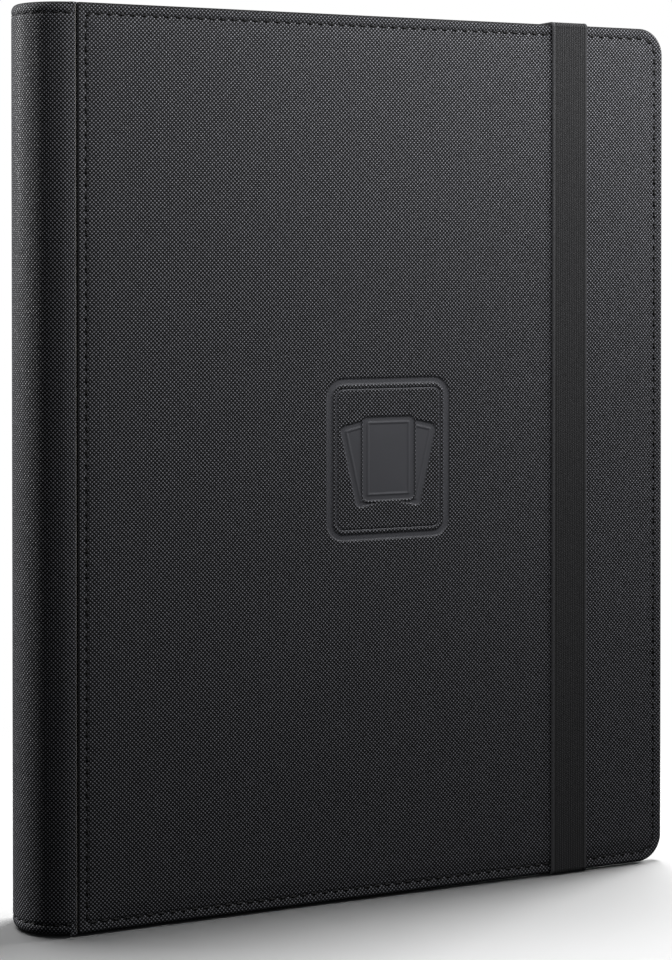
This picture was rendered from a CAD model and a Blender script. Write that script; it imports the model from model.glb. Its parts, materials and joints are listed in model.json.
"""Looks of the trading card binder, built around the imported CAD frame. Lengths are in metres."""
import json
from math import asin, atan2, ceil, cos, hypot, pi, radians, sin, sqrt

import bmesh
import bpy
import numpy as np
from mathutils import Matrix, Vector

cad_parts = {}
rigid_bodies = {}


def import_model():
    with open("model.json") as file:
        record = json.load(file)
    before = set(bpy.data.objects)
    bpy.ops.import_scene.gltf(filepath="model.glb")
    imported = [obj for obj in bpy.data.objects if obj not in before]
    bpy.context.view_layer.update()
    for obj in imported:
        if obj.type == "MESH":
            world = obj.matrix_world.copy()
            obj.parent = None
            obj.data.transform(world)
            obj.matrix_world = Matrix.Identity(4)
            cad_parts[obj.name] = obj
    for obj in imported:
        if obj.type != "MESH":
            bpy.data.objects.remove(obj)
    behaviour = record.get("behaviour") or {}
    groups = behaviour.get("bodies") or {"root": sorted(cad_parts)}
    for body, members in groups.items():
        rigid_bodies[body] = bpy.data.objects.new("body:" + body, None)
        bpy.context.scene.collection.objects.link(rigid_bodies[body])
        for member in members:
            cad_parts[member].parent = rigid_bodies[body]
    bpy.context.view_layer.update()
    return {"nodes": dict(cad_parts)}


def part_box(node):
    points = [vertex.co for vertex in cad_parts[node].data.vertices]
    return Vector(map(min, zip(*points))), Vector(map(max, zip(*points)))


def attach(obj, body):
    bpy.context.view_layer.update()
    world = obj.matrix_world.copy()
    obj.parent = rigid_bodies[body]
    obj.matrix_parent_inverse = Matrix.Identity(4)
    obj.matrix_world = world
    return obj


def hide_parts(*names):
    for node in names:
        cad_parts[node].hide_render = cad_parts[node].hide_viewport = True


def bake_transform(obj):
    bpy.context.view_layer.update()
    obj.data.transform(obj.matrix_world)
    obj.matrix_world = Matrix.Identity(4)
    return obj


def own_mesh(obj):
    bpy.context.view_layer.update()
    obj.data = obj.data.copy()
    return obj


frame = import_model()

MM = 0.001
FRONT, BACK = -1, 1

# ---------------------------------------------------------------- places read from the frame
skin_low, skin_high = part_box("front_panel_skin")
FOLD_X, FORE_X = skin_low[0], skin_high[0]
HEIGHT = skin_high[2]
FACE = -skin_low[1]  # distance of each cover's outer face from the middle plane
strap_low, strap_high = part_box("elastic_strap")
STRAP_X = (strap_low[0] + strap_high[0]) / 2
STRAP_HALF = (strap_high[0] - strap_low[0]) / 2
page_low, page_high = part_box("page_01_sheet")
PAGE_LOW_Z, PAGE_HIGH_Z = page_low[2], page_high[2]
BINDING_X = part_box("binding_strip")[1][0]

COVER_CORNER = 10.5 * MM
RIB = 0.82 * MM  # pitch of the strap's ribs
EMBLEM_CENTRE = (9.5 * MM, 167 * MM)
EMBLEM_SHAPE = (52, 61.5, 7)  # width, height and corner radius in mm
CARD_SHAPE = (22, 32, 2.2)
CARD_FAN, CARD_PIVOT = 13, 28  # degrees between cards, and mm from their centres to the fan's pivot
SLOT_Z = (17 * MM, HEIGHT - 17 * MM)  # of the strap's slots in the back cover
SLOT_HALF = 9.2 * MM
SEAT_HALF, SEAT_LIFT = 9.1 * MM, 0.4 * MM  # the strap's seat in the lower edges
STITCH_SPAN = (0.17, 0.83)  # the share of each stitch's pitch that its thread takes
FLOOR_Z = -0.6 * MM  # the strap under the binder lifts it by a hair


# ---------------------------------------------------------------- mesh helpers
def grid_quads(rows, columns, first=0):
    """Faces of a grid of vertices that is stored row by row."""
    index = first + np.arange(rows * columns).reshape(rows, columns)
    faces = np.stack([index[:-1, :-1], index[1:, :-1], index[1:, 1:], index[:-1, 1:]], -1)
    return faces.reshape(-1, 4).tolist()


def make_piece(name, vertices, faces, material, uv, weld=True, sharp=40, marks=None):
    """A mesh object with smooth shading, welded seams and outward faces. marks are values per vertex."""
    mesh = bpy.data.meshes.new(name)
    mesh.from_pydata(np.asarray(vertices, float).tolist(), [], faces)
    layer = mesh.uv_layers.new(name="Surface")
    corner = np.empty(len(mesh.loops), dtype=np.int32)
    mesh.loops.foreach_get("vertex_index", corner)
    layer.data.foreach_set("uv", np.asarray(uv, np.float32)[corner].ravel())
    for mark, values in (marks or {}).items():
        layer = mesh.attributes.new(mark, "FLOAT", "POINT")
        layer.data.foreach_set("value", np.asarray(values, np.float32).ravel())
    if weld:
        work = bmesh.new()
        work.from_mesh(mesh)
        bmesh.ops.remove_doubles(work, verts=work.verts, dist=1e-6)
        bmesh.ops.dissolve_degenerate(work, edges=work.edges, dist=1e-7)
        bmesh.ops.recalc_face_normals(work, faces=work.faces)
        work.to_mesh(mesh)
        work.free()
    mesh.polygons.foreach_set("use_smooth", [True] * len(mesh.polygons))
    mesh.set_sharp_from_angle(angle=radians(sharp))
    mesh.materials.append(material)
    piece = bpy.data.objects.new(name, mesh)
    bpy.context.scene.collection.objects.link(piece)
    return piece


def smooth(t):
    """0 up to t = 0 and 1 from t = 1, with an even step between them."""
    t = np.clip(t, 0, 1)
    return t * t * (3 - 2 * t)


def eased(x, places, values):
    """Value at x on a curve through the given places, level at each of them."""
    x = np.clip(x, places[0], places[-1])
    k = np.clip(np.searchsorted(places, x, side="right") - 1, 0, len(places) - 2)
    places, values = np.asarray(places, float), np.asarray(values, float)
    t = (x - places[k]) / (places[k + 1] - places[k])
    return values[k] + (values[k + 1] - values[k]) * smooth(t)


def spread(low, high, step):
    """Evenly spaced places from low to high, both ends included, at most a step apart."""
    return np.linspace(low, high, max(1, ceil((high - low) / step - 1e-6)) + 1)


def merged(*groups):
    """Sorted places with near-duplicates removed."""
    places = np.sort(np.concatenate([np.atleast_1d(g) for g in groups]))
    keep = np.concatenate([[True], np.diff(places) > 0.02 * MM])
    return places[keep]


def running_length(points):
    """Length along a line of points, at each of them."""
    return np.concatenate([[0], np.cumsum(np.linalg.norm(np.diff(points, axis=0), axis=1))])


class Outline:
    """An upright rectangle with round corners; radii are for its low-X and its high-X corners."""

    def __init__(self, x0, x1, z0, z1, radii):
        self.x0, self.x1, self.z0, self.z1 = x0, x1, z0, z1
        self.corners = [
            (x0 + radii[0] if sx < 0 else x1 - radii[1], z0 + r if sz < 0 else z1 - r, sx, sz, r)
            for sx, r in ((-1, radii[0]), (1, radii[1]))
            for sz in (-1, 1)
        ]

    def bend(self, x, z):
        """Moves the points of a square-cornered grid so that its corners are round."""
        mx, mz = np.array(x, float), np.array(z, float)
        for cx, cz, sx, sz, r in self.corners:
            u, v = sx * (x - cx) / r, sz * (z - cz) / r
            inside = (u > 1e-9) & (v > 1e-9)
            reach = np.maximum(u, v)
            low = np.minimum(u, v) / np.where(reach == 0, 1, reach)
            angle = np.where(u >= v, pi / 4 * low, pi / 2 - pi / 4 * low)
            mx = np.where(inside, cx + sx * r * reach * np.cos(angle), mx)
            mz = np.where(inside, cz + sz * r * reach * np.sin(angle), mz)
        return mx, mz

    def ring(self, rows, columns):
        """Places in a rows (X) by columns (Z) grid of its border, in order round it."""
        i, j = [], []
        for a in range(rows):
            i.append(a), j.append(0)
        for b in range(1, columns):
            i.append(rows - 1), j.append(b)
        for a in range(rows - 2, -1, -1):
            i.append(a), j.append(columns - 1)
        for b in range(columns - 2, 0, -1):
            i.append(0), j.append(b)
        return np.array(i), np.array(j)

    def normals(self, x, z):
        """Outward directions at points on the outline."""
        nx = np.where(np.abs(x - self.x0) < 1e-7, -1.0, np.where(np.abs(x - self.x1) < 1e-7, 1.0, 0.0))
        nz = np.where(np.abs(z - self.z0) < 1e-7, -1.0, np.where(np.abs(z - self.z1) < 1e-7, 1.0, 0.0))
        for cx, cz, sx, sz, r in self.corners:
            inside = (sx * (x - cx) > 1e-9) & (sz * (z - cz) > 1e-9)
            nx = np.where(inside, (x - cx) / r, nx)
            nz = np.where(inside, (z - cz) / r, nz)
        return nx, nz

    def inset(self, x, z, nx, nz, amount):
        """Points on the outline moved inwards, and kept inside the smaller outline."""
        return (
            np.clip(x - nx * amount, self.x0 + amount, self.x1 - amount),
            np.clip(z - nz * amount, self.z0 + amount, self.z1 - amount),
        )


def ring_quads(first, second, count):
    """Faces between two closed rings of vertices."""
    a = np.arange(count)
    b = (a + 1) % count
    return np.stack([first[a], first[b], second[b], second[a]], -1).tolist()


def slab(name, outline, x_lines, z_lines, near_y, far_y, material, edge=0.1 * MM):
    """A thin sheet with two faces and slightly rounded edges. near_y and far_y are functions of
    the distance from the outline, or plain numbers."""
    gx, gz = np.meshgrid(x_lines, z_lines, indexing="ij")
    x, z = outline.bend(gx, gz)
    away = np.minimum(
        np.minimum(gx - outline.x0, outline.x1 - gx), np.minimum(gz - outline.z0, outline.z1 - gz)
    )
    rows, columns = gx.shape
    i, j = outline.ring(rows, columns)
    vertices, faces, uv = [], [], []
    rings = []
    for y in (near_y, far_y):
        level = y(away) if callable(y) else np.full(x.shape, float(y))
        first = sum(len(v) for v in vertices)
        vertices.append(np.stack([x, level, z], -1).reshape(-1, 3))
        uv.append(np.stack([x, z], -1).reshape(-1, 2))
        faces += grid_quads(rows, columns, first)
        rings.append(first + i * columns + j)
    stacked = np.concatenate(vertices)
    bx, bz = x[i, j], z[i, j]
    nx, nz = outline.normals(bx, bz)
    middle_y = (stacked[rings[0], 1] + stacked[rings[1], 1]) / 2
    first = len(stacked)
    vertices.append(np.stack([bx + nx * edge, middle_y, bz + nz * edge], -1))
    uv.append(np.stack([bx + nx * edge, bz + nz * edge], -1))
    middle = first + np.arange(len(i))
    faces += ring_quads(rings[0], middle, len(i)) + ring_quads(middle, rings[1], len(i))
    return make_piece(name, np.concatenate(vertices), faces, material, np.concatenate(uv))


def sweep(name, rings, material, uv, **options):
    """A skin over a run of closed rings, with capped ends. rings is (ring, point, xyz)."""
    rings = np.asarray(rings, float)
    # the seam's points are there twice so that its texture doesn't run backwards
    rings = np.concatenate([rings, rings[:, :1]], 1)
    count, points = rings.shape[:2]
    faces = grid_quads(count, points)
    faces.append(list(range(points - 1)))
    faces.append([(count - 1) * points + k for k in range(points - 1)])
    uv = np.asarray(uv, float).reshape(-1, 2)
    return make_piece(name, rings.reshape(-1, 3), faces, material, uv, **options)


def upright(name, section, z_lines, material):
    """A closed section in X and Y, carried up through the given heights, with capped ends."""
    section = np.asarray(section, float)
    loop = np.concatenate([section, section[:1]])
    rings = [[(x, y, z) for x, y in section] for z in z_lines]
    uv = [[(a, z) for a in running_length(loop)] for z in z_lines]
    return sweep(name, rings, material, uv)


def ribbon(centre, thickness):
    """A closed section of a given thickness about an open centre line in X and Y."""
    centre = np.asarray(centre, float)
    along = np.gradient(centre, axis=0)
    along /= np.linalg.norm(along, axis=1)[:, None]
    across = np.stack([-along[:, 1], along[:, 0]], -1) * thickness / 2
    return np.concatenate([centre + across, (centre - across)[::-1]])


def smooth_line(points, count):
    """A Catmull-Rom line through points, sampled at a number of places."""
    p = np.asarray(points, float)
    p = np.concatenate([[2 * p[0] - p[1]], p, [2 * p[-1] - p[-2]]])
    out = []
    for t in np.linspace(0, len(p) - 3 - 1e-9, count):
        k, f = int(t), t - int(t)
        a, b, c, d = p[k : k + 4]
        out.append(
            0.5 * (2 * b + (c - a) * f + (2 * a - 5 * b + 4 * c - d) * f**2 + (3 * b - a - 3 * c + d) * f**3)
        )
    return np.array(out)


def lined(low, high, border, fine, coarse):
    """Lines across a sheet: close together along both borders and coarse between them."""
    inner_low, inner_high = low + border, high - border
    return merged(
        spread(low, inner_low, fine), spread(inner_low, inner_high, coarse), spread(inner_high, high, fine)
    )


# ---------------------------------------------------------------- material helpers
class Surface:
    """A Principled material that is built node by node."""

    def __init__(self, name, **constants):
        self.material = bpy.data.materials.new(name)
        self.material.use_nodes = True
        self.tree = self.material.node_tree
        self.shader = next(n for n in self.tree.nodes if n.type == "BSDF_PRINCIPLED")
        self.set(self.shader, constants)

    def set(self, node, inputs):
        for key, value in inputs.items():
            socket = node.inputs[key]
            if isinstance(value, bpy.types.NodeSocket):
                self.tree.links.new(value, socket)
            else:
                socket.default_value = value

    def add(self, kind, inputs=None, **settings):
        node = self.tree.nodes.new("ShaderNode" + kind)
        for key, value in settings.items():
            setattr(node, key, value)
        self.set(node, inputs or {})
        return node

    def math(self, operation, a, b=0.0, c=0.0):
        return self.add("Math", {0: a, 1: b, 2: c}, operation=operation).outputs[0]

    def uv(self):
        """The two coordinates of the piece's own surface, in metres."""
        node = self.add("UVMap", uv_map="Surface")
        split = self.add("SeparateXYZ", {0: node.outputs[0]})
        return split.outputs[0], split.outputs[1]

    def place(self):
        return self.add("TexCoord").outputs["Object"]

    def noise(self, scale, detail=2.0, roughness=0.5, vector=None):
        vector = self.place() if vector is None else vector
        node = self.add(
            "TexNoise", {"Vector": vector, "Scale": scale, "Detail": detail, "Roughness": roughness}
        )
        return node.outputs[0]

    def stretch(self, value, low, high, to_low=0.0, to_high=1.0, eased=False):
        node = self.add(
            "MapRange",
            {0: value, 1: low, 2: high, 3: to_low, 4: to_high},
            interpolation_type="SMOOTHSTEP" if eased else "LINEAR",
        )
        return node.outputs[0]

    def ramp(self, value, *stops):
        """Colour by value; stops are (position, (r, g, b))."""
        node = self.add("ValToRGB", {0: value})
        ramp = node.color_ramp
        while len(ramp.elements) < len(stops):
            ramp.elements.new(0.5)
        for element, (position, colour) in zip(ramp.elements, stops):
            element.position = position
            element.color = (*colour, 1)
        return node.outputs[0]

    def wave(self, coordinate, pitch, phase=0.0):
        """0 to 1 and back once in each pitch of a coordinate."""
        turn = self.math("MULTIPLY_ADD", coordinate, 2 * pi / pitch, phase)
        return self.math("MULTIPLY_ADD", self.math("COSINE", turn), 0.5, 0.5)

    def finish(self, colour, roughness, height=None, depth=0.0, **more):
        """The material, with a bump of the given depth where a height is given, and more inputs."""
        self.set(self.shader, {"Base Color": colour, "Roughness": roughness, **more})
        if height is not None:
            bump = self.add("Bump", {"Height": height, "Distance": depth, "Strength": 1.0})
            self.set(self.shader, {"Normal": bump.outputs[0]})
        return self.material


def leatherette():
    """Black coated leatherette, embossed with a staggered lattice of small raised dots."""
    s = Surface("leatherette", **{"Specular IOR Level": 0.3})
    u, v = s.uv()
    pitch = 1.5 * MM
    first = s.wave(s.math("ADD", u, v), pitch)
    second = s.wave(s.math("SUBTRACT", u, v), pitch)
    lattice = s.math("MULTIPLY", s.math("ADD", first, second), 0.5)
    dots = s.stretch(lattice, 0.48, 0.95, eased=True)
    pressed = s.add("Attribute", attribute_name="pressed").outputs["Fac"]
    raised = s.math("MULTIPLY", dots, s.math("SUBTRACT", 1.0, pressed))
    turned = s.add("Attribute", attribute_name="turned").outputs["Fac"]  # pulled flat over an edge
    raised = s.math("MULTIPLY", raised, s.math("MULTIPLY_ADD", turned, -0.9, 1.0))
    worn = s.noise(9.0, 4.0, 0.6)
    grain = s.noise(2600.0, 2.0, 0.6)
    tone = s.math("MULTIPLY_ADD", pressed, 0.42, raised)
    rubbed = s.math("MULTIPLY", tone, s.stretch(worn, 0.25, 0.75, 0.86, 1.0))
    colour = s.ramp(
        rubbed,
        (0.0, (0.0004, 0.0004, 0.0006)),
        (0.42, (0.080, 0.081, 0.091)),
        (1.0, (0.235, 0.238, 0.268)),
    )
    rough = s.math(
        "ADD",
        s.math("MULTIPLY_ADD", tone, -0.46, 0.76),
        s.math("MULTIPLY_ADD", worn, 0.12, -0.06),
    )
    height = s.math("MULTIPLY_ADD", grain, 0.03, raised)
    return s.finish(colour, rough, height, 0.13 * MM)


def woven(name, dark, light, pitch, sheen=0.25):
    """Plain-woven cloth."""
    s = Surface(name, **{"Sheen Weight": sheen, "Sheen Roughness": 0.45, "Specular IOR Level": 0.3})
    u, v = s.uv()
    warp, weft = s.wave(u, pitch), s.wave(v, pitch)
    checker = s.wave(s.math("ADD", u, v), 2 * pitch)
    warp_up = s.math("MULTIPLY", warp, checker)
    weft_up = s.math("MULTIPLY", weft, s.math("SUBTRACT", 1.0, checker))
    over = s.math("MULTIPLY", s.math("ADD", warp_up, weft_up), 0.7)
    fibre = s.noise(1800.0, 3.0, 0.6)
    patch = s.noise(14.0, 3.0)
    height = s.math("MULTIPLY_ADD", fibre, 0.35, over)
    shade = s.math("MULTIPLY_ADD", patch, 0.3, s.math("MULTIPLY", height, 0.8))
    colour = s.ramp(shade, (0.15, dark), (0.95, light))
    return s.finish(colour, s.stretch(fibre, 0.2, 0.8, 0.72, 0.9), height, 0.12 * MM)


def thread_finish():
    """Bonded black sewing thread: three plies twisted round each other."""
    s = Surface("thread", **{"Sheen Weight": 0.08, "Sheen Roughness": 0.4, "Specular IOR Level": 0.25})
    u, v = s.uv()
    ply = s.wave(s.math("ADD", u, v), 0.45 * MM)
    fibre = s.noise(3000.0, 2.0)
    height = s.math("MULTIPLY_ADD", fibre, 0.3, ply)
    colour = s.ramp(ply, (0.0, (0.0008, 0.0008, 0.0010)), (1.0, (0.007, 0.007, 0.008)))
    return s.finish(colour, s.stretch(fibre, 0.2, 0.8, 0.45, 0.7), height, 0.06 * MM)


def elastic_finish():
    """Knitted elastic: ribs along its length, stitched across in a stagger, between plain selvedges."""
    s = Surface("elastic", **{"Sheen Weight": 0.06, "Sheen Roughness": 0.5, "Specular IOR Level": 0.3})
    across = s.math("SUBTRACT", s.add("SeparateXYZ", {0: s.place()}).outputs[0], STRAP_X)
    along = s.uv()[1]
    ribs = s.wave(across, RIB)
    first, second = s.wave(along, 0.9 * MM), s.wave(along, 0.9 * MM, pi)
    odd = s.stretch(s.wave(across, 2 * RIB), 0.35, 0.65, eased=True)
    even = s.math("SUBTRACT", 1.0, odd)
    loops = s.math("ADD", s.math("MULTIPLY", first, odd), s.math("MULTIPLY", second, even))
    knit = s.math("MULTIPLY", ribs, s.math("MULTIPLY_ADD", loops, 0.65, 0.35))
    side = s.math("ABSOLUTE", across)
    selvedge = s.stretch(side, STRAP_HALF - 1.35 * MM, STRAP_HALF - 1.1 * MM, eased=True)
    groove = s.stretch(side, STRAP_HALF - 1.9 * MM, STRAP_HALF - 1.6 * MM, eased=True)
    body = s.math("MULTIPLY_ADD", groove, -0.8, 1.0)
    fibre = s.noise(2200.0, 3.0, 0.65)
    patch = s.noise(12.0, 3.0)
    height = s.math("MULTIPLY_ADD", fibre, 0.35, s.math("MAXIMUM", s.math("MULTIPLY", knit, body), selvedge))
    shade = s.math("MULTIPLY_ADD", patch, 0.2, s.math("MULTIPLY", height, 0.75))
    colour = s.ramp(shade, (0.1, (0.002, 0.002, 0.0023)), (0.95, (0.042, 0.042, 0.045)))
    return s.finish(colour, s.stretch(fibre, 0.2, 0.8, 0.68, 0.88), height, 0.08 * MM)


def page_finish():
    """Black polypropylene sheet with a fine haircell emboss."""
    s = Surface("page_plastic", **{"Specular IOR Level": 0.45})
    pebble = s.add("TexVoronoi", {"Vector": s.place(), "Scale": 1500.0}, feature="SMOOTH_F1").outputs[0]
    scuff = s.noise(40.0, 5.0, 0.65)
    colour = s.ramp(scuff, (0.3, (0.009, 0.009, 0.010)), (0.8, (0.017, 0.017, 0.018)))
    return s.finish(colour, s.stretch(scuff, 0.25, 0.8, 0.42, 0.62), pebble, 0.03 * MM)


def film_finish():
    """Clear soft film of the pockets, with faint handling marks and milky welds."""
    s = Surface("clear_film", IOR=1.35)
    handled = s.noise(60.0, 4.0, 0.6)
    ripple = s.noise(45.0, 1.0)
    weld = s.add("Attribute", attribute_name="weld").outputs["Fac"]
    clear = s.stretch(weld, 0.3, 0.7, 1.0, 0.93)
    rough = s.math("MULTIPLY_ADD", weld, 0.3, s.stretch(handled, 0.3, 0.8, 0.06, 0.2))
    return s.finish((0.96, 0.97, 0.98, 1), rough, ripple, 0.12 * MM, **{"Transmission Weight": clear})


def board_finish():
    """Grey fibreboard."""
    s = Surface("greyboard", **{"Specular IOR Level": 0.2})
    fibre = s.noise(900.0, 5.0, 0.7)
    fleck = s.noise(160.0, 3.0, 0.6)
    colour = s.ramp(fleck, (0.3, (0.16, 0.15, 0.14)), (0.7, (0.30, 0.29, 0.27)))
    return s.finish(colour, s.stretch(fibre, 0.2, 0.8, 0.8, 0.95), fibre, 0.08 * MM)


def tape_finish():
    """Black woven binding tape, ribbed along its length."""
    s = Surface("binding_tape", **{"Sheen Weight": 0.15, "Sheen Roughness": 0.5, "Specular IOR Level": 0.3})
    split = s.add("SeparateXYZ", {0: s.place()})
    rib = s.wave(split.outputs[1], 1.6 * MM)
    scuff = s.noise(300.0, 4.0, 0.6)
    height = s.math("MULTIPLY_ADD", scuff, 0.3, rib)
    colour = s.ramp(scuff, (0.3, (0.010, 0.010, 0.011)), (0.8, (0.022, 0.022, 0.023)))
    return s.finish(colour, s.stretch(scuff, 0.2, 0.8, 0.5, 0.7), height, 0.1 * MM)


def floor_finish():
    """Plain pale studio floor that fades out into the white background, away from the binder."""
    s = Surface("studio_floor", **{"Specular IOR Level": 0.25})
    mottle = s.noise(3.0, 3.0)
    away = s.add("VectorMath", {0: s.place()}, operation="LENGTH").outputs["Value"]
    colour = s.ramp(mottle, (0.3, (0.86, 0.86, 0.86)), (0.7, (0.89, 0.89, 0.89)))
    fade = s.stretch(away, 0.16, 0.36, 1.0, 0.0, eased=True)
    return s.finish(colour, s.stretch(mottle, 0.2, 0.8, 0.5, 0.6), Alpha=fade)


LEATHER = leatherette()
LINING = woven("lining_cloth", (0.006, 0.006, 0.007), (0.045, 0.045, 0.048), 0.5 * MM)
THREAD = thread_finish()
ELASTIC = elastic_finish()
PAGE = page_finish()
FILM = film_finish()
BOARD = board_finish()
TAPE = tape_finish()

# ---------------------------------------------------------------- the leatherette's shape at an edge
ROLL = 1.3 * MM  # the skin turns over a cover's edge in this width
ROLL_DEPTH = 1.6 * MM
BEAD = 0.34 * MM  # depth of the plump edge below the middle of the cover
SEAM = 4.0 * MM  # the stitching's distance from an edge
SEAM_DEPTH = 0.70 * MM
FOLD_SEAM = 3.5 * MM
PITCH = 4.4 * MM  # of the stitches


def edge_depth(away):
    """Depth of a cover's face below its middle, at a distance from its edge."""
    t = np.clip((ROLL - away) / ROLL, 0, 1)
    rolled = BEAD + (ROLL_DEPTH - BEAD) * (1 - np.sqrt(1 - t**2))
    places = np.array([1.3, 2.4, 3.2, 4.0, 4.8, 10.0, 18.0]) * MM
    depths = np.array([0.34, 0.33, 0.40, 0.70, 0.40, 0.08, 0.0]) * MM
    return np.where(away < ROLL, rolled, eased(away, places, depths))


def fold_distance(x):
    """A cover's inset from its fold, on the scale of the other edges' inset."""
    inset = x - FOLD_X
    return np.where(inset < FOLD_SEAM, inset * SEAM / FOLD_SEAM, inset + SEAM - FOLD_SEAM)


def fold_place(away):
    return FOLD_X + np.where(away < SEAM, away * FOLD_SEAM / SEAM, away - SEAM + FOLD_SEAM)


def box_distance(x, z, width, height, corner):
    """Signed distance from a rounded rectangle about the origin, negative inside."""
    qx, qz = np.abs(x) - width / 2 + corner, np.abs(z) - height / 2 + corner
    outside = np.hypot(np.maximum(qx, 0), np.maximum(qz, 0))
    return outside + np.minimum(np.maximum(qx, qz), 0) - corner


def emblem(x, z):
    """(depth, share of smooth leather) of the pressed emblem: a double frame round three blank cards."""
    x, z = (x - EMBLEM_CENTRE[0]) / MM, (z - EMBLEM_CENTRE[1]) / MM
    soft = 0.34

    def inside(distance):
        return smooth(0.5 - distance / soft)

    rim = box_distance(x, z, *EMBLEM_SHAPE)
    band = np.minimum(inside(rim), 1 - inside(rim + 2.4))
    line = np.minimum(inside(rim + 3.8), 1 - inside(rim + 4.4))

    def card(angle):
        c, s = cos(radians(angle)), sin(radians(angle))
        pz = z + CARD_PIVOT
        return box_distance(c * x + s * pz, -s * x + c * pz - CARD_PIVOT, *CARD_SHAPE)

    low, high, top = card(CARD_FAN), card(-CARD_FAN), card(0)
    gap = 0.6  # of raised leather between two cards
    low_part = np.minimum(inside(low), np.minimum(1 - inside(high - gap), 1 - inside(top - gap)))
    high_part = np.minimum(inside(high), 1 - inside(top - gap))
    beside = smooth((np.abs(x) - 5.0) / 1.0)  # the side cards don't show above the middle one
    cards = np.maximum(np.maximum(low_part, high_part) * beside, inside(top))
    own = np.where(top < 0.3, top, np.where(high < 0.3, high, low))
    inner = np.minimum(inside(own + 2.0), 1 - inside(own + 2.7)) * cards
    dome = 0.10 * smooth(-own / 9) * cards
    depth = 0.45 * band + 0.32 * line + 0.45 * cards - 0.22 * inner - dome
    return depth * MM, np.maximum(np.maximum(band, line), cards)


# ---------------------------------------------------------------- covers
def strap_seat(x):
    """1 across the strap's seat in a cover's lower edge, and 0 beside it."""
    return smooth((SEAT_HALF - np.abs(x - STRAP_X)) / (1.2 * MM))


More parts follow.
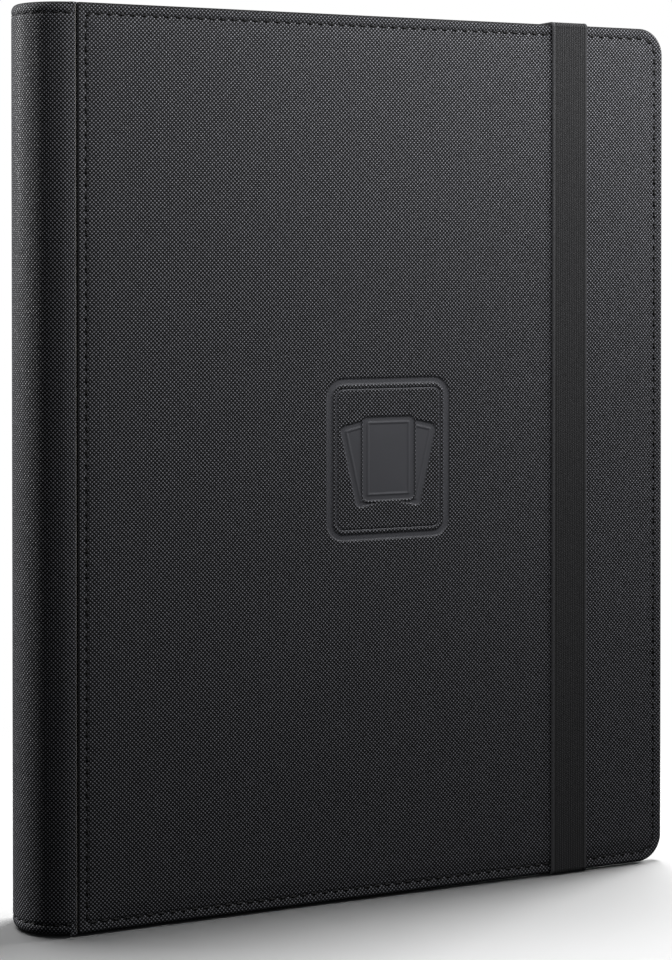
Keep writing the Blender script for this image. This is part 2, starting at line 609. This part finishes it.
def cover(side, name, body, nodes):
    """Padded leatherette of one cover: face, rolled edges, turned-in hem and the board's pocket."""
    outline = Outline(FOLD_X, FORE_X, 0.0, HEIGHT, (1.5 * MM, COVER_CORNER))
    turn = ROLL * (1 - np.cos(np.linspace(0, pi / 2, 8)))
    bands = [1.6, 2.0, 2.4, 2.8, 3.2, 3.4, 3.6, 3.8, 4.0, 4.2, 4.4, 4.6, 4.8]
    bands += [5.6, 6.6, 7.8, 9.0, 10.4, 12.0, 14.5, 18.0]
    away = np.concatenate([turn, np.array(bands) * MM])
    theta = np.linspace(0, pi / 2, 400)
    arc_x, arc_d = ROLL * (1 - np.cos(theta)), (ROLL_DEPTH - BEAD) * (1 - np.sin(theta))
    arc = running_length(np.stack([arc_x, arc_d], -1))
    laid = np.where(away < ROLL, ROLL - (arc[-1] - np.interp(away, arc_x, arc)), away)
    if side == FRONT:
        ex, ez = EMBLEM_CENTRE
        fine_x = spread(ex - 26.6 * MM, ex + 26.6 * MM, 0.34 * MM)
        fine_z = spread(ez - 31.4 * MM, ez + 31.4 * MM, 0.34 * MM)
    else:
        fine_x = np.array([0.0])
        near_slot = np.array([-2.4, -1.6, -1.1, -0.8, -0.4, 0, 0.4, 0.8, 1.1, 1.6, 2.4]) * MM
        fine_z = np.concatenate([place + near_slot for place in SLOT_Z])
    strap_x = STRAP_X + np.array([-10.5, -9.5, -8.9, -8.4, -7.8, -7, 0, 7, 7.8, 8.4, 8.9, 9.5, 10.5]) * MM

    def lines(low_away, high_away, *extra):
        middle = spread(low_away[-1], high_away[-1], 6 * MM)[1:-1]
        near = np.concatenate(extra)
        middle = [m for m in middle if np.min(np.abs(near - m)) > 1.5 * MM]
        return np.concatenate([low_away, np.sort(np.concatenate([middle, near])), high_away[::-1]])

    low_x, low_laid = fold_place(away), fold_place(laid)
    low_laid = np.where(laid < 0, FOLD_X + laid, low_laid)
    x_lines = lines(low_x, FORE_X - away, fine_x, strap_x)
    inner_z = fine_z[(fine_z > away[-1] + 0.5 * MM) & (fine_z < HEIGHT - away[-1] - 0.5 * MM)]
    edge_z = np.setdiff1d(fine_z, inner_z)
    z_lines = lines(away, HEIGHT - away, inner_z)
    z_lines = merged(z_lines, edge_z) if side == BACK else z_lines

    def lay_out(places, low, low_flat, far):
        """Places across the cover, from a low edge to a far one, with the rolled edges laid flat."""
        known = np.concatenate([low, (far - away)[::-1]])
        return np.interp(places, known, np.concatenate([low_flat, (far - laid)[::-1]]))

    x_laid = lay_out(x_lines, low_x, low_laid, FORE_X)
    z_laid = lay_out(z_lines, away, laid, HEIGHT)
    gx, gz = np.meshgrid(x_lines, z_lines, indexing="ij")
    x, z = outline.bend(gx, gz)
    tu, tv = outline.bend(*np.meshgrid(x_laid, z_laid, indexing="ij"))
    distance = np.minimum(np.minimum(fold_distance(gx), FORE_X - gx), np.minimum(gz, HEIGHT - gz))
    depth = edge_depth(distance)
    pressed = np.zeros(x.shape)
    if side == FRONT:
        relief, pressed = emblem(x, z)
        depth = depth + relief
    else:
        for place in SLOT_Z:
            across = smooth((SLOT_HALF - np.abs(x - STRAP_X)) / (0.8 * MM))
            slit = smooth(1 - (np.abs(z - place) - 0.3 * MM) / (0.9 * MM))
            lip = smooth(1 - np.abs(z - place) / (3 * MM))
            depth = depth + across * (0.15 * MM * lip + 0.9 * MM * slit)
    z = z + SEAT_LIFT * strap_seat(x) * smooth(1 - z / (7 * MM))
    rows, columns = x.shape
    i, j = outline.ring(rows, columns)
    vertices = [np.stack([x, side * (FACE - depth), z], -1).reshape(-1, 3)]
    uv = [np.stack([tu, tv], -1).reshape(-1, 2)]
    faces = grid_quads(rows, columns)
    ring = i * columns + j
    bx, bz = outline.bend(gx[i, j], gz[i, j])
    nx, nz = outline.normals(bx, bz)
    ru, rv = tu[i, j], tv[i, j]
    lift = SEAT_LIFT * strap_seat(bx) * (bz < 1 * MM)
    wall = [  # inset, depth, length laid out beyond the face
        (0.0, 2.1, 0.5), (0.0, 2.8, 1.2), (0.04, 3.3, 1.7), (0.2, 3.7, 2.15), (0.5, 3.93, 2.5),
        (0.9, 4.0, 2.9), (2.0, 4.0, 4.0), (9.0, 4.0, 11.0), (9.0, 3.65, 11.3), (1.05, 3.62, 19.0),
        (1.05, 2.1, 20.5),
    ]
    flat_pressed = [pressed.reshape(-1)]
    turned = [np.clip(1.3 - distance / (0.9 * MM), 0, 1).reshape(-1)]
    for inset, level, laid_out in wall:
        px, pz = outline.inset(bx, bz, nx, nz, inset * MM)
        py = np.full(px.shape, side * (FACE - level * MM))
        first = sum(len(v) for v in vertices)
        vertices.append(np.stack([px, py, pz + lift], -1))
        uv.append(np.stack([ru + nx * laid_out * MM, rv + nz * laid_out * MM], -1))
        flat_pressed.append(np.zeros(len(px)))
        turned.append(np.ones(len(px)))
        new = first + np.arange(len(i))
        faces += ring_quads(ring, new, len(i))
        ring = new
    faces.append(ring.tolist())
    marks = {"pressed": np.concatenate(flat_pressed), "turned": np.concatenate(turned)}
    vertices, uv = np.concatenate(vertices), np.concatenate(uv)
    piece = make_piece(name, vertices, faces, LEATHER, uv, marks=marks, sharp=55)
    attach(piece, body)
    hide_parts(*nodes)


def stitch_places(path, pitch):
    """Middles and directions of evenly spaced stitches along a line of X, Y, Z points."""
    path = np.asarray(path, float)
    along = running_length(path)
    count = round(along[-1] / pitch)
    middles, directions = [], []
    for k in range(count):
        a, b = [
            np.array([np.interp((k + f) * along[-1] / count, along, path[:, c]) for c in range(3)])
            for f in STITCH_SPAN
        ]
        middles.append((a + b) / 2)
        directions.append((b - a) / 2)
    return np.array(middles), np.array(directions)


def stitching(name, runs, body, nodes=(), radius=0.47 * MM, arch=0.34 * MM):
    """Rows of separate stitches. runs are (points, outward directions as a function of the place)."""
    lengthwise, around = np.linspace(-1, 1, 9), np.linspace(0, 2 * pi, 9)[:-1]
    vertices, faces, uv, count = [], [], [], 0
    for path, outward in runs:
        middles, halves = stitch_places(path, PITCH)
        for middle, half in zip(middles, halves):
            out = np.asarray(outward(middle), float)
            half_length = np.linalg.norm(half)
            side = np.cross(half / half_length, out)
            rings, laid = [], []
            for t in lengthwise:
                swell = radius * sqrt(max(1 - abs(t) ** 3.2, 0.02))
                centre = middle + half * t - out * arch * t * t
                rings.append([centre + swell * (cos(a) * side + sin(a) * out) for a in around])
                laid.append([(half_length * t, radius * a) for a in around])
            vertices += [p for ring in rings for p in ring]
            uv += [p for ring in laid for p in ring]
            n = len(around)
            for r in range(len(lengthwise) - 1):
                for a in range(n):
                    b = (a + 1) % n
                    near, far = count + r * n, count + (r + 1) * n
                    faces.append([near + a, near + b, far + b, far + a])
            faces.append([count + a for a in range(n)][::-1])
            faces.append([count + (len(lengthwise) - 1) * n + a for a in range(n)])
            count += len(lengthwise) * n
    piece = make_piece(name, vertices, faces, THREAD, uv, weld=False, sharp=80)
    work = bmesh.new()
    work.from_mesh(piece.data)
    bmesh.ops.recalc_face_normals(work, faces=work.faces)
    work.to_mesh(piece.data)
    work.free()
    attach(piece, body)
    if nodes:
        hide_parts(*nodes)


def seam_line(y):
    """The perimeter seam of a cover, as a closed line of points at a given Y."""
    corner = COVER_CORNER - SEAM
    x0, x1, z0, z1 = FOLD_X + FOLD_SEAM, FORE_X - SEAM, SEAM, HEIGHT - SEAM
    points = [(x0, z0)]
    for cx, cz, start in ((x1 - corner, z0 + corner, -90), (x1 - corner, z1 - corner, 0)):
        for angle in np.linspace(start, start + 90, 17):
            points.append((cx + corner * cos(radians(angle)), cz + corner * sin(radians(angle))))
    points += [(x0, z1), (x0, z0)]
    return [(x, y, z) for x, z in points]


for side, word in ((FRONT, "front"), (BACK, "back")):
    body = f"{word}_cover"
    cover(side, f"{word}_cover_leatherette", body, [f"{word}_panel_skin", f"{word}_padding"])
    stitching(
        f"{word}_cover_stitches",
        [(seam_line(side * (FACE - SEAM_DEPTH + 0.2 * MM)), lambda p, s=side: (0, s, 0))],
        body,
        [f"{word}_stitching"],
    )
    low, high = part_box(f"{word}_lining")
    outline = Outline(low[0], high[0], low[2], high[2], (1.2 * MM, COVER_CORNER - 1.2 * MM))
    inner_y, outer_y = (high[1], low[1]) if side == FRONT else (low[1], high[1])
    lines_x = lined(low[0], high[0], 12 * MM, 0.6 * MM, 8 * MM)
    lines_z = lined(low[2], high[2], 12 * MM, 0.6 * MM, 8 * MM)

    def inner_face(away, inner_y=inner_y, side=side):
        seam = smooth(1 - np.abs(away - 2.8 * MM) / (0.9 * MM))
        return inner_y + side * (0.16 * MM * seam + 0.12 * MM * smooth(1 - away / (0.6 * MM)))

    lining = slab(f"{word}_cover_lining", outline, lines_x, lines_z, inner_face, outer_y, LINING)
    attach(lining, body)
    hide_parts(f"{word}_lining")
    stitching(
        f"{word}_lining_stitches",
        [(seam_line(inner_y), lambda p, s=side: (0, -s, 0))],
        body,
        radius=0.22 * MM,
        arch=0.2 * MM,
    )

# ---------------------------------------------------------------- spine
SPINE_X = FOLD_X  # axis of the half-round spine
SPINE_END = 0.3 * MM  # the spine stops this far short of its axis
SPINE_R = FACE


def spine_point(radius, angle, z):
    """Angle 0 points away from the covers, and positive angles turn towards the back."""
    return (SPINE_X - radius * cos(angle), radius * sin(angle), z)


def spine_ring_points():
    """(radius, height) round the spine's wall: outside with its seams, over the ends, and inside."""
    turned = np.linspace(0, pi / 2, 8)
    outside = [(15.9 + 2.1 * sin(a), 2.6 * (1 - cos(a))) for a in turned]
    outside += [(17.97, 3.1), (17.86, 3.5), (17.5, 4.0), (17.86, 4.5), (17.97, 4.9)]  # the seam
    outside += [(18.0, 5.6), (18.0, 8.0), (18.0, 14.0)]
    inside = [(14.62, 3.0), (14.62, 1.5), (14.7, 0.8), (14.95, 0.25), (15.4, 0.02)]
    low = [(r * MM, z * MM) for r, z in inside + outside]
    middle = [(18.0 * MM, z) for z in spread(14 * MM, HEIGHT - 14 * MM, 12 * MM)[1:-1]]
    high = [(r, HEIGHT - z) for r, z in low[::-1]]
    return low + middle + high


profile = spine_ring_points()
steps = np.linspace(-1, 1, 97)
steps = np.sign(steps) * (1 - (1 - np.abs(steps)) ** 1.25)  # closer together towards the grooves
girth = running_length(profile + profile[:1])
rings, uv, turned = [], [], []
over_edge = [
    1 - smooth((min(z, HEIGHT - z) - 0.2 * MM) / (1.0 * MM)) if r > 16.5 * MM else 1.0 for r, z in profile
]
for step in steps:
    ring = []
    for radius, z in profile:
        limit = pi / 2 - asin(SPINE_END / radius)
        angle = step * limit
        to_end = (1 - abs(step)) * limit * radius
        outer = smooth((radius - 16 * MM) / (1.5 * MM))
        sunk = 0.5 * MM * smooth(1 - to_end / (5 * MM)) + 0.5 * MM * smooth(1 - to_end / (0.9 * MM))
        ring.append(spine_point(radius - outer * sunk, angle, z))
    rings.append(ring)
    uv.append([(step * pi / 2 * SPINE_R, a) for a in girth])
    turned.append(over_edge + over_edge[:1])
spine = sweep("spine_leatherette", rings, LEATHER, uv, sharp=55, marks={"turned": turned})
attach(spine, "spine")
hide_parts("spine_skin")


def from_axis(point):
    """Direction of a point from the spine's axis."""
    return np.array([point[0] - SPINE_X, point[1], 0]) / hypot(point[0] - SPINE_X, point[1])


seam_angles = np.linspace(-radians(86), radians(86), 60)
seam_r = SPINE_R - 0.36 * MM
rows = [[spine_point(seam_r, a, z) for a in seam_angles] for z in (SEAM, HEIGHT - SEAM)]
stitching("spine_stitches", [(row, from_axis) for row in rows], "spine", ["spine_stitching"])

lining_low, lining_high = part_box("spine_lining")
lining_r = SPINE_X - lining_low[0]
inner_r = lining_r - 0.6 * MM
section = [
    (lining_r - 0.03 * MM, lining_low[2]),
    (lining_r - 0.03 * MM, lining_high[2]),
    (inner_r + 0.08 * MM, lining_high[2]),
    (inner_r, lining_high[2] - 0.3 * MM),
    (inner_r, lining_low[2] + 0.3 * MM),
    (inner_r + 0.08 * MM, lining_low[2]),
]
rings, uv = [], []
for step in np.linspace(-1, 1, 49):
    rings.append([spine_point(r, step * (pi / 2 - asin(SPINE_END / r)), z) for r, z in section])
    uv.append([(step * pi / 2 * inner_r, z) for r, z in section + section[:1]])
spine_lining = sweep("spine_lining_cloth", rings, LINING, uv)
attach(spine_lining, "spine")
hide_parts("spine_lining")

# ---------------------------------------------------------------- flexible hinges at the two grooves
# (x from the fold, distance from the middle plane) in mm, along the middle of each flexible strip
OUTER_GROOVE = [(-2.6, 16.95), (-1.7, 17.02), (-0.9, 16.86), (-0.35, 16.5), (0.2, 16.1), (1.0, 15.8)]
OUTER_GROOVE += [(2.6, 15.7)]
INNER_GROOVE = [(-4.2, 13.12), (-3.0, 13.44), (-1.5, 13.7), (0, 13.76), (0.8, 13.6), (1.6, 13.36)]
INNER_GROOVE += [(3.0, 13.28), (5.0, 13.27), (8.0, 13.27)]


def groove_strip(name, side, curve, count, thickness, z_lines, material):
    """A strip of a given thickness in mm across one groove."""
    section = ribbon(smooth_line(curve, count), thickness)
    return upright(name, [(FOLD_X + x * MM, side * y * MM) for x, y in section], z_lines, material)


for side, word in ((FRONT, "front"), (BACK, "back")):
    body, y = f"{word}_cover", side * FACE
    z_lines = spread(0.1 * MM, HEIGHT - 0.1 * MM, 8 * MM)
    hinge = groove_strip(f"{word}_hinge_leatherette", side, OUTER_GROOVE, 25, 0.8, z_lines, LEATHER)
    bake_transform(hinge)
    z_lines = spread(lining_low[2], lining_high[2], 10 * MM)
    inner = groove_strip(f"{word}_inner_hinge_cloth", side, INNER_GROOVE, 40, 0.35, z_lines, LINING)
    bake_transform(inner)
    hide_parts("hinge_strips")

# ---------------------------------------------------------------- elastic strap
STRAP = 0.95 * MM
RUN_Y = FACE + 0.05 * MM  # inner face of the strap's run over a cover
TOP_Z = HEIGHT + 0.05 * MM
LOW_Z = FLOOR_Z + STRAP


def strap_section():
    """(across, outward) round the strap: ribbed outer face with raised selvedges, plain inner face."""
    across = np.linspace(-1, 1, 151)
    ribs = 0.5 + 0.5 * np.cos(2 * pi * across * STRAP_HALF / RIB)
    selvedge = smooth((np.abs(across) * STRAP_HALF - STRAP_HALF + 1.25 * MM) / (0.3 * MM))
    height = STRAP - 0.14 * MM + 0.11 * MM * ribs * (1 - selvedge) + 0.14 * MM * selvedge
    height -= 0.45 * MM * smooth((np.abs(across) - 0.965) / 0.035)
    outer = [(a * STRAP_HALF, h) for a, h in zip(across, height)]
    inner = [(a * (STRAP_HALF - 0.1 * MM), 0.0) for a in np.linspace(1, -1, 25)]
    return outer + inner


def strap_piece(name, path, body, nodes=(), turn=1.0):
    """A length of strap along (y, z) points of its inner face; the outside is to the path's left."""
    path = np.asarray(path, float)
    ahead = np.gradient(path, axis=0)
    ahead /= np.linalg.norm(ahead, axis=1)[:, None]
    normal = np.stack([-ahead[:, 1], ahead[:, 0]], -1) * turn
    section = strap_section()
    girth = running_length(section + section[:1])
    rings, uv = [], []
    for (y, z), (ny, nz), length in zip(path, normal, running_length(path)):
        rings.append([(STRAP_X + a, y + ny * h, z + nz * h) for a, h in section])
        uv.append([(g, length) for g in girth])
    piece = sweep(name, rings, ELASTIC, uv)
    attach(piece, body)
    if nodes:
        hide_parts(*nodes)
    return piece


BEND = 1.1 * MM  # inner radius of the strap at an edge
LEG_Y = FACE - 1.5 * MM
CORNER_Y = -RUN_Y + BEND
front_run = [(-RUN_Y, z) for z in spread(LOW_Z + BEND, TOP_Z - BEND, 6 * MM)[::-1]]
strap_piece("strap_front_run", front_run, "strap", ["elastic_strap"], turn=-1.0)
for word, edge, sign in (("top", TOP_Z, 1), ("bottom", LOW_Z, -1)):
    # from the run's end round the cover's edge to the back, where the sewn tail begins
    leg = [(CORNER_Y - BEND * cos(a), edge - sign * BEND * (1 - sin(a))) for a in np.linspace(0, pi / 2, 9)]
    leg += [(y, edge) for y in spread(CORNER_Y, LEG_Y, 2 * MM)[1:]]
    leg = strap_piece(f"strap_{word}_leg", leg, "strap", turn=float(sign))
    # an empty leg shrinks to the outer side of the run, so that it clears the tails behind the binder
    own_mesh(leg)
for word, edge, slot_z, sign in (("top", TOP_Z, SLOT_Z[1], 1), ("bottom", LOW_Z, SLOT_Z[0], -1)):
    y = FACE + 0.06 * MM
    tail = [(LEG_Y, edge), (y - BEND - 0.2 * MM, edge)]
    for angle in np.linspace(pi / 2, 0, 9):
        tail.append((y - BEND + BEND * cos(angle), edge + sign * (BEND * sin(angle) - BEND)))
    tail += [(y, place) for place in np.linspace(edge - sign * 2 * MM, slot_z + sign * 2.4 * MM, 8)]
    for sunk, before in ((0.15, 1.5), (0.7, 0.7), (1.7, 0.2), (2.6, 0.0)):  # into the slot
        tail.append((y - sunk * MM, slot_z + sign * before * MM))
    strap_piece(f"strap_{word}_tail", tail, "back_cover", ["strap_tails"], turn=float(sign))

# ---------------------------------------------------------------- pages
PAGES = 20
POCKET_LEFT = -92 * MM
POCKET = 68 * MM
FILM_WIDTH, FILM_HEIGHT = 66.4 * MM, PAGE_HIGH_Z - PAGE_LOW_Z - 3.2 * MM
WELD = 1.6 * MM
FILM_GAP, FILM_THICKNESS = 0.03 * MM, 0.09 * MM
for number in range(1, PAGES + 1):
    body = f"page_{number:02d}"
    low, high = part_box(f"{body}_sheet")
    y = (low[1] + high[1]) / 2
    thick = (high[1] - low[1]) / 2
    hinge_x = low[0] - 0.3 * MM
    outline = Outline(BINDING_X + 0.02 * MM, high[0], low[2], high[2], (0.4 * MM, 3 * MM))
    x_lines = merged(
        outline.x0 + np.array([0, 0.2, 0.4]) * MM,
        spread(outline.x0 + 0.8 * MM, hinge_x - 3 * MM, 2 * MM),
        spread(hinge_x - 3 * MM, hinge_x + 3 * MM, 0.6 * MM),
        spread(hinge_x + 3 * MM, high[0] - 3 * MM, 9 * MM),
        spread(high[0] - 3 * MM, high[0], 0.5 * MM),
    )
    z_lines = lined(low[2], high[2], 3 * MM, 0.5 * MM, 12 * MM)
    leaf = slab(f"{body}_leaf", outline, x_lines, z_lines, y - thick, y + thick, PAGE, edge=0.06 * MM)
    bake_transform(leaf)
    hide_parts(f"{body}_sheet", "page_margins")

    vertices, faces, uv, welds = [], [], [], []
    row = (FILM_HEIGHT - WELD) / 3
    for side in (FRONT, BACK):
        for column in range(3):
            cx = POCKET_LEFT + (column + 0.5) * POCKET
            x0, x1 = cx - FILM_WIDTH / 2, cx + FILM_WIDTH / 2
            z0 = (PAGE_LOW_Z + PAGE_HIGH_Z - FILM_HEIGHT) / 2
            xs = [x0, x0 + 0.6 * MM] + list(spread(x0 + 5 * MM, x1 - 6 * MM, 9 * MM))
            xs = np.array(xs + [x1 - 2.6 * MM, x1 - WELD, x1 - 0.8 * MM, x1])
            zs = []
            for k in range(3):
                base = z0 + k * row
                zs += [base, base + 0.8 * MM, base + WELD, base + 2.6 * MM]
                zs += list(spread(base + 7 * MM, base + row - 6 * MM, 12 * MM)) + [base + row - 1 * MM]
            zs = np.array(zs + [z0 + 3 * row, z0 + 3 * row + 0.8 * MM, z0 + 3 * row + WELD])
            gx, gz = np.meshgrid(xs, zs, indexing="ij")
            in_row = np.mod(gz - z0, row)
            welded = smooth((gx - (x1 - 2.6 * MM)) / (0.9 * MM))
            welded = np.maximum(welded, 1 - smooth((in_row - WELD) / (1 * MM)))
            welded = np.maximum(welded, smooth((in_row - row + 1 * MM) / (1 * MM)))
            crown = np.sin(pi * np.clip((in_row - WELD) / (row - WELD), 0, 1))
            puff = (0.07 + 0.10 * crown * smooth((x1 - gx) / (20 * MM))) * MM
            rise = np.where(welded > 0.5, FILM_GAP, FILM_GAP + puff)
            for offset in (0.0, FILM_THICKNESS):
                first = sum(len(v) for v in vertices)
                level = y + side * (thick + rise + offset)
                vertices.append(np.stack([gx, level, gz], -1).reshape(-1, 3))
                uv.append(np.stack([gx, gz], -1).reshape(-1, 2))
                welds.append(welded.reshape(-1))
                faces += grid_quads(*gx.shape, first)
            rows, columns = gx.shape
            i, j = outline.ring(rows, columns)
            faces += ring_quads(first - rows * columns + i * columns + j, first + i * columns + j, len(i))
    vertices, uv, marks = np.concatenate(vertices), np.concatenate(uv), {"weld": np.concatenate(welds)}
    film = make_piece(f"{body}_film", vertices, faces, FILM, uv, marks=marks, sharp=60)
    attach(film, body)
    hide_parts(f"{body}_pockets")

# ---------------------------------------------------------------- carried-over CAD nodes
for node, material in (
    ("front_board", BOARD),
    ("back_board", BOARD),
    ("spine_board", BOARD),
    ("binding_strip", TAPE),
    ("binding_stitching", THREAD),
):
    data = frame["nodes"][node].data
    data.materials.clear()
    data.materials.append(material)

# ---------------------------------------------------------------- floor, light and camera
bpy.ops.mesh.primitive_plane_add(size=3, location=(0, 0, FLOOR_Z))
floor = bpy.context.object
floor.name = "studio_floor"
floor.data.materials.append(floor_finish())

scene = bpy.context.scene
scene.view_settings.view_transform = "Standard"
world = bpy.data.worlds.new("studio")
world.use_nodes = True
tree = world.node_tree
room = tree.nodes["Background"]
room.inputs["Color"].default_value = (0.93, 0.96, 1.0, 1)
room.inputs["Strength"].default_value = 0.032
backdrop = tree.nodes.new("ShaderNodeBackground")
backdrop.inputs["Color"].default_value = (1, 1, 1, 1)
seen = tree.nodes.new("ShaderNodeLightPath")
either = tree.nodes.new("ShaderNodeMixShader")
tree.links.new(seen.outputs["Is Camera Ray"], either.inputs[0])
tree.links.new(room.outputs[0], either.inputs[1])
tree.links.new(backdrop.outputs[0], either.inputs[2])
tree.links.new(either.outputs[0], tree.nodes["World Output"].inputs["Surface"])
scene.world = world


def light_group(name, state, *objects):
    """A light-linking group: INCLUDE is for these objects alone, EXCLUDE for all but these."""
    group = bpy.data.collections.new(name)
    for k, item in enumerate(objects):
        group.objects.link(item)
        group.collection_objects[k].light_linking.link_state = state
    return group


floor.visible_diffuse = floor.visible_glossy = False  # it throws no light back on to the covers
OFF_FLOOR = light_group("off_floor", "EXCLUDE", floor)
FLOOR_ONLY = light_group("floor_only", "INCLUDE", floor)
INNER_WORDS = ("page_", "lining", "inner_hinge")
spine_pieces = [spine, bpy.data.objects["spine_stitches"]]
inner_pieces = [o for o in bpy.data.objects if any(word in o.name for word in INNER_WORDS)]
SPINE_ONLY = light_group("spine_only", "INCLUDE", *spine_pieces)
COVERS_ONLY = light_group("covers_only", "EXCLUDE", floor, *spine_pieces)
INSIDE_ONLY = light_group("inside_only", "INCLUDE", *inner_pieces)


def softbox(name, location, target, width, height, power, reach=None):
    """A rectangular area light that faces a point. Reach is the light group, or all if none is given."""
    data = bpy.data.lights.new(name, "AREA")
    data.shape = "RECTANGLE"
    data.size, data.size_y, data.energy = width, height, power
    light = bpy.data.objects.new(name, data)
    light.location = location
    x, y, z = np.array(target) - np.array(location)
    light.rotation_euler = (atan2(hypot(x, y), -z), 0, atan2(y, x) - pi / 2)
    scene.collection.objects.link(light)
    light.light_linking.receiver_collection = reach


softbox("key", (0.20, -0.16, 0.50), (0.10, 0, 0.33), 0.5, 0.10, 0.88, reach=OFF_FLOOR)
softbox("key_left", (0.08, -0.16, 0.50), (0.04, 0, 0.33), 0.7, 0.10, 0.76, reach=OFF_FLOOR)
softbox("key_low", (0.32, -0.25, 0.36), (0.12, 0, 0.19), 0.5, 0.12, 0.85, reach=OFF_FLOOR)
softbox("spine_edge", (-0.665, 0.482, 0.50), (-0.13, 0, 0.22), 0.12, 0.5, 8, reach=SPINE_ONLY)
softbox("back", (-0.5, 0.9, 1.5), (0.1, 0.1, 0), 1.2, 1.2, 11)
softbox("fore_edge", (1.2, 0.25, 0.55), (0.13, 0, 0.17), 0.6, 0.8, 16)
softbox("floor_wash", (0.28, 0.13, 1.30), (0.1, 0, 0), 0.4, 0.3, 14.5, reach=FLOOR_ONLY)
softbox("rear", (0.55, 1.30, 0.55), (0, 0, 0.17), 0.8, 0.8, 4, reach=OFF_FLOOR)
softbox("opened_cover", (-1.30, 0.0, 0.60), (-0.11, 0, 0.17), 0.8, 0.8, 9, reach=COVERS_ONLY)
softbox("opened_pages", (0.25, -1.30, 0.75), (0, 0, 0.17), 0.9, 0.6, 16, reach=INSIDE_ONLY)

# where the spine, the fold and the cover's corners fall as they do in the photograph
camera_data = bpy.data.cameras.new("camera")
camera = bpy.data.objects.new("camera", camera_data)
camera.location = (-0.3908, -0.8167, 0.2446)
camera.rotation_euler = (radians(90 - 0.821), 0, -radians(25.329))
camera_data.lens = 88.05
camera_data.sensor_width = 36
camera_data.shift_y = -0.2
scene.collection.objects.link(camera)
bpy.context.scene.camera = camera
